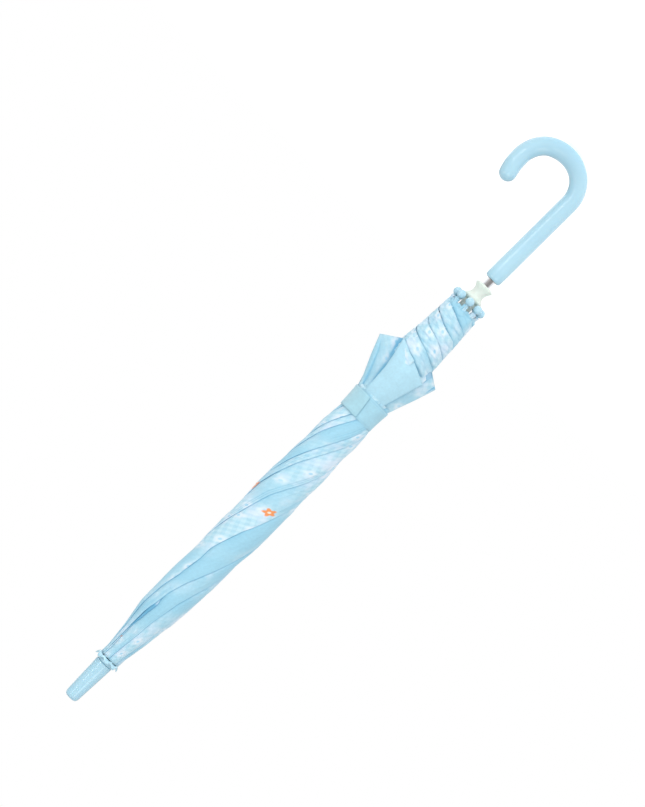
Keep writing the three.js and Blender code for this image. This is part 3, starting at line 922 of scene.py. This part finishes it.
def plain_cloth(name, colour, pitch, bump, sheen):
    """Cloth of one colour with its weave, its wear, and painted shade at its folds; its stitch
    lines darkened.
    """
    made, tree = blank_material(name)
    cloth = node(tree, "TexCoord").outputs["UV"]
    worn = ramp(tree, mottle(tree, cloth, 130, 4), 0.4, 0.75)
    pale = [min(1.0, c * 1.1) for c in colour[:3]] + [1]
    fold = node(tree, "Attribute", attribute_name="shade_and_stitch_marks").outputs["Fac"]
    shown = painted(tree, colour, pale, worn, 0.7)
    # Painted shade: darker blue where the mesh marks folds and lapping edges, and along the stitch
    # lines.
    shown = painted(tree, shown, (0.12, 0.45, 0.68, 1), fold, 0.8)
    dressed(tree, woven, {"Vector": cloth, "Pitch": pitch, "Colour": shown, "Bump": bump},
            Sheen_Weight=sheen)
    return made


plain_canopy = plain_cloth("plain_canopy_polyester", (0.425, 0.69, 0.81, 1), THREADS, 0.35, 0.25)
SKIRT = (
    ("wing_left", ((384, -16.4, 3), (395, -20.5, 1.5), (415, -29.6, -0.5), (433.5, -37, -1.5)),
     ((384, -9, 12.2), (400, -9, 13.4), (420, -10.5, 14.2), (446, -18, 8.6)), (2.5, 1.5),
     (1, 0), wing_left, (0.027, 0.056)),
    ("wing_right", ((384, 8, 12.4), (400, 11, 13.2), (420, 15, 12.0), (441.5, 20, 8)),
     ((384, 18.4, 3), (395, 22.2, 1.5), (415, 29.2, -0.5), (433.3, 35.0, -1.5)), (2.5, 1.0),
     (0, 1), wing_right, (0.022, 0.056)),
    ("hem_strip", ((443, -18.6, 7.4), (450, -17.6, 10.6), (457.5, -15.0, 13.4)),
     ((425, 22.4, 8.0), (433, 22.4, 7.4), (441.2, 21.2, 3.5)), (7.6, 8.4),
     (0, 0), hem_strip, (0.046, 0.016)),
    ("broad_fold", ((384, -10.4, 13.3), (396, -11.2, 15.4), (415, -12.6, 17.0),
                    (431, -15.8, 16.2), (446.5, -19.8, 11.0)),
     ((384, 11.0, 13.2), (396, 14.2, 15.0), (409, 18.0, 15.0), (420, 21.3, 13.6),
      (427.5, 24.0, 12.0)), (3.7, 8.2), (1, 1), broad_fold, (0.045, 0.056)))


for side, turn in enumerate((0.0, math.pi)):
    for number, (part, left, right, swell, folds, shading, flat) in enumerate(SKIRT):
        made = sewn("skirt_%s_%d" % (part, side + 1), 60, 44,
                    lambda u, v: skirt_point(turn, left, right, swell, folds,
                                             number + 5 * side, shading, u, v),
                    material=plain_canopy if part == "broad_fold" else None)
        furls(made)
        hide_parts("canopy_panel_%d" % (6 if side == 0 else 2))


# Hem wrap: the rib ends are wound round tightly with the gores' hems, whose edges climb steeply
# the other way. Each turn lies over the next one down, and the hem is turned and stitched.
WRAP_RADIUS = ((430, 20.6), (445, 20.3), (460, 19.1), (482, 17.7), (494, 17.1), (504, 16.6))
WRAP_CLIMB = 0.114
WRAP_PITCH = 13.7
WRAP_EASE = 1.5
WRAP_START, WRAP_RISE = 437, 78
HEM_START, HEM_END = 0.16, 0.24
HEM_TURNED, HEM_SHOWN = 5.0, 19


def wrap_point(turn_number, u, v):
    """Along the edge of one turn of hem, and from its turned edge up under the turn above."""
    climbed = WRAP_START + WRAP_RISE * u
    azimuth = 180 + (climbed - 441 - WRAP_PITCH * turn_number) / WRAP_CLIMB
    between = (1 - math.cos(math.radians(8 * azimuth))) / 2
    foot = 500 + 3.2 * between
    edge, above = (foot - math.log1p(math.exp((foot - down) / WRAP_EASE)) * WRAP_EASE
                   for down in (climbed, climbed - WRAP_PITCH))
    edge += 1.6 * rough(azimuth / 50, turn_number * 3.7) * smooth(u * 8)
    exposed = edge - above
    if v < HEM_START:
        up, under = HEM_TURNED * (1 - v / HEM_START), 0.5
    elif v < HEM_END:
        bend = (v - HEM_START) / (HEM_END - HEM_START) * math.pi
        up, under = -0.35 * math.sin(bend), 0.25 * (1 + math.cos(bend))
    else:
        up, under = HEM_SHOWN * (v - HEM_END) / (1 - HEM_END), 0.0
    down = edge - up
    covered = smooth((up - exposed + 2.2) / 2.4)
    beyond = max(0.0, exposed - up)
    shadow = math.exp(-beyond / (1.3 + 0.7 * rough(azimuth / 35, turn_number)))
    gathers = 0.42 * rough(down / 2.6, azimuth / 70, turn_number * 5.0) + (
        0.25 * rough(down / 1.3, azimuth / 30, 9.0))
    gathers *= 1 - 0.7 * covered
    level = along(WRAP_RADIUS, down) + 0.3 + gathers - 1.3 * covered - under
    level -= 2.4 * between * smooth((down - 493) / 9)
    groove = 0.35 * math.exp(-abs(up - 5.5) / 0.35)
    # Painted shade: a painted shadow below the edge of the turn above, a darker line just above
    # the turned hem, the turned-under layer darker, and the hollows of the gathers darker.
    dark = min(1.0, shadow * (0.75 + 0.25 * rough(azimuth / 22, 3.0)) + groove
               + 0.5 * (under > 0.3) + 0.9 * max(0.0, -gathers))
    return (around(azimuth, level, down),
            (azimuth * math.pi / 180 * 0.018 + 0.3 * turn_number, -up * 0.001 + 0.02), dark)


for number in range(3):
    made = sewn("hem_wrap_%d" % (number + 1), 300, 40,
                lambda u, v: wrap_point(number, u, v))
    furls(made)
    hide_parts("canopy_panel_%d" % (number + 3))


# Corner pockets: each corner of the canopy is gathered to a point and tied to its ball's neck.
POCKET_WIDE = ((483, 4.8), (490, 4.8), (497, 4.5), (502, 3.4), (504, 2.4), (506.3, 2.6))
POCKET_THIN = ((483, 1.5), (490, 1.7), (497, 1.9), (504, 1.9), (506.3, 2.6))


def pocket_point(k, u, v):
    down = 483 + 23.3 * v
    angle = u * 2 * math.pi
    wide, thin = along(POCKET_WIDE, down), along(POCKET_THIN, down)
    pleat = 1 + 0.09 * math.cos(9 * angle + k) + 0.12 * rough(angle * 1.4, down / 4, k * 4.0)
    line = 1000 * PIVOT[0] + (down - tip_z + 1000 * PIVOT[1]) * math.tan(RIB_LEAN)
    centre = Vector((line, 0, tip_z - down)) * 0.001
    point = centre + Vector((thin * math.cos(angle), wide * math.sin(angle), 0)) * pleat * 0.001
    # Painted shade in the hollows between the pocket's pleats, deeper towards the ball.
    dark = 0.55 * max(0.0, -math.cos(9 * angle + k)) * v
    return (Matrix.Rotation(math.radians(45 * (k - 1)), 3, "Z") @ point,
            (angle * 0.003 + 0.07 * k, v * 0.023 + 0.4), dark)


for k in range(1, 9):
    pocket = sewn("corner_pocket_%d" % k, 48, 20, lambda u, v: pocket_point(k, u, v))
    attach(pocket, "rib_%d" % k)
    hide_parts("canopy_panel_%d" % k)


# Canopy's gores: eight wedges sewn along the ribs, drawn straight from rib to rib and a little
# hollow between them when open. Furled, each one lies in narrow pleats inside the roll.
RIB_TURN = math.radians(63.98526)
SPREAD_TURN = math.radians(46.79117)
joint = {row["name"]: row for row in frame["joints"]}


def turned_about(row, angle):
    """The turn of a joint as a matrix in the frame."""
    at = Vector(row["pos_m"])
    return (Matrix.Translation(at) @ Matrix.Rotation(angle, 4, Vector(row["axis"]))
            @ Matrix.Translation(-at))


rib_opens = turned_about(joint["rib_1_hinge"], RIB_TURN)
rib_closes = rib_opens.inverted()
spread = joint["panel_1_spread"]
RIB_SLOPE = RIB_LEAN + RIB_TURN
PLEATS = 24
HOLLOW = 0.86
GORE_LIFT = 0.0012


def open_rib(length, lift):
    return Vector((PIVOT[0] + length * math.sin(RIB_SLOPE) + lift * math.cos(RIB_SLOPE), 0,
                   PIVOT[1] - length * math.cos(RIB_SLOPE) + lift * math.sin(RIB_SLOPE)))


def gore_length(u, v):
    hem = 0.452 - 0.014 * smooth(min(u, 1 - u) / 0.011) - 0.024 * (1 - (2 * u - 1) ** 2)
    return 0.0045 + (hem - 0.0045) * v


def opened(u, length, lift=GORE_LIFT):
    """Where the open gore lies: between the straight chord and the arc of the spread."""
    first = open_rib(length, lift)
    second = Matrix.Rotation(math.radians(45), 3, "Z") @ first
    chord = first.lerp(second, u)
    swung = (rib_opens @ turned_about(spread, u * SPREAD_TURN)
             @ Matrix.Rotation(math.radians(45 * u), 4, "Z") @ rib_closes @ first)
    return chord.lerp(swung, HOLLOW), (second - first).length


def furled(point, share):
    """The rest place of an open point that follows the spread by this share."""
    return turned_about(spread, -share * SPREAD_TURN) @ (rib_closes @ point)


def spread_arm(point):
    """Distance of an open point from the axis that the gore spreads about."""
    return (rib_closes @ point - Vector(spread["pos_m"])).cross(Vector(spread["axis"])).length


def triangle_wave(x):
    x = (x + 0.25) % 1
    return 4 * x - 1 if x < 0.5 else 3 - 4 * x


def gore_point(k, weights, u, v):
    length = gore_length(u, v)
    point, width = opened(u, length)
    share = u + triangle_wave(PLEATS * u) * width / (4 * PLEATS) / (
        SPREAD_TURN * spread_arm(point))
    weights.append(share)
    place = Matrix.Rotation(math.radians(45 * (k - 1)), 3, "Z") @ furled(point, share)
    hem = math.exp(-abs(v - 0.975) / 0.0045) + 0.6 * (v > 0.998)
    return place, ((u - 0.5) * width, length + 0.05 * k), min(1.0, 0.35 * hem)


def blended(made):
    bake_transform(made)


def seam_point(k, u, v):
    """The felled seam on a rib's outer side, pitched like the gores beside it."""
    aside = (u - 0.5) * 0.0044
    top = open_rib(0.006 + 0.443 * v, 0.0016 - 0.42 * abs(aside))
    point = rib_closes @ (top + Vector((0, aside, 0)))
    stitch = 0.30 * (abs(abs(u - 0.5) - 0.36) < 0.08)
    return (Matrix.Rotation(math.radians(45 * (k - 1)), 3, "Z") @ point,
            (aside + 0.013 * k, 0.45 * v), stitch)


for k in range(1, 9):
    weights = []
    gore = sewn("canopy_gore_%d" % k, 4 * PLEATS, 64,
                lambda u, v: gore_point(k, weights, u, v), thick=0.0002)
    blended(gore)
    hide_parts("canopy_panel_%d" % k)
    seam = sewn("rib_seam_%d" % k, 10, 90, lambda u, v: seam_point(k, u, v))
    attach(seam, "rib_%d" % k)


# Strap: a band of the canopy's own cloth, doubled and topstitched, sewn to one gore. It goes
# round the furled roll and closes on itself with a pad of hook-and-loop.
strap_fabric = plain_cloth("strap_polyester", (0.37, 0.645, 0.765, 1), THREADS, 0.4, 0.25)
hook_and_loop = plain_cloth("strap_pad_loop", (0.385, 0.655, 0.75, 1), 5200.0, 1.0, 0.5)
STRAP_TOP, STRAP_FOOT = 363.4, 386.8
STRAP_LEVEL = 18.0
STRAP_FLARE = 1.3


def strap_edge_shade(v, near):
    """The pressed edge and the line of stitches inside it."""
    off = min(v, 1 - v)
    return min(1.0, 0.35 * math.exp(-abs(off - near) / 0.012) + 0.3 * math.exp(-off / 0.008))


def band_point(u, v):
    azimuth = 303 - 307 * u
    down = STRAP_TOP + (STRAP_FOOT - STRAP_TOP) * v
    level = STRAP_LEVEL + STRAP_FLARE * v * v + 0.25 * rough(azimuth / 28, down / 9)
    level -= 0.35 * math.exp(-min(v, 1 - v) / 0.04)
    return (around(azimuth, level, down), (azimuth * 0.00033, down * 0.001),
            strap_edge_shade(v, 0.09))


def tab_point(u, v):
    azimuth = 8 - (97 - 8 * v) * u
    corner = max(0.0, u - 0.965) * 22
    half = 11.2 - 1.6 * corner ** 2 * (1 - u + 0.965)
    down = (STRAP_TOP + STRAP_FOOT) / 2 + (v - 0.5) * 2 * half
    level = STRAP_LEVEL + 0.5 + STRAP_FLARE * v * v + 0.55 * smooth(u * 7)
    level += 0.12 * rough(azimuth / 16, down / 8) - 0.3 * math.exp(-min(v, 1 - v) / 0.03)
    edge = min(1.0, 0.4 * math.exp(-(1 - u) / 0.01) + strap_edge_shade(v, 0.1))
    return around(azimuth, level, down), (azimuth * 0.00034, down * 0.001), edge


band = sewn("strap_wrapped", 150, 24, band_point, thick=0.0005, material=strap_fabric)
pad = sewn("strap_pad_closed", 80, 24, tab_point, thick=0.0009, material=hook_and_loop)
furls(band)
furls(pad)
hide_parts("strap_band")
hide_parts("strap_tab")


# The strap again as it hangs free down the open canopy; furled, it lies pleated in the roll.
def hanging_point(weights, start, end, lift, u, v):
    length = start + (end - start) * v
    width = opened(0.5, length, GORE_LIFT + lift)[1]
    aside = (u - 0.5) * 0.0226
    point = opened(0.5 + aside / width, length, GORE_LIFT + lift)[0]
    pleated = triangle_wave((u - 0.5) * 2) * 0.00283
    share = 0.5 + aside / width + pleated / (SPREAD_TURN * spread_arm(point))
    weights.append(share)
    place = Matrix.Rotation(math.radians(45 * 6), 3, "Z") @ furled(point, share)
    return place, (aside, length), strap_edge_shade(u, 0.09)


for label, start, end, lift, material, slot_name, node_name, flat in (
        ("strap_hanging", 0.268, 0.400, 0.0006, strap_fabric, "strap_fabric", "strap_band",
         (0.0226, 0.132)),
        ("strap_pad_hanging", 0.363, 0.399, 0.0013, hook_and_loop, "hook_and_loop", "strap_tab",
         (0.0226, 0.036))):
    weights = []
    made = sewn(label, 48, 60, lambda u, v: hanging_point(weights, start, end, lift, u, v),
                thick=0.0004, material=material)
    blended(made)
    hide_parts(node_name)
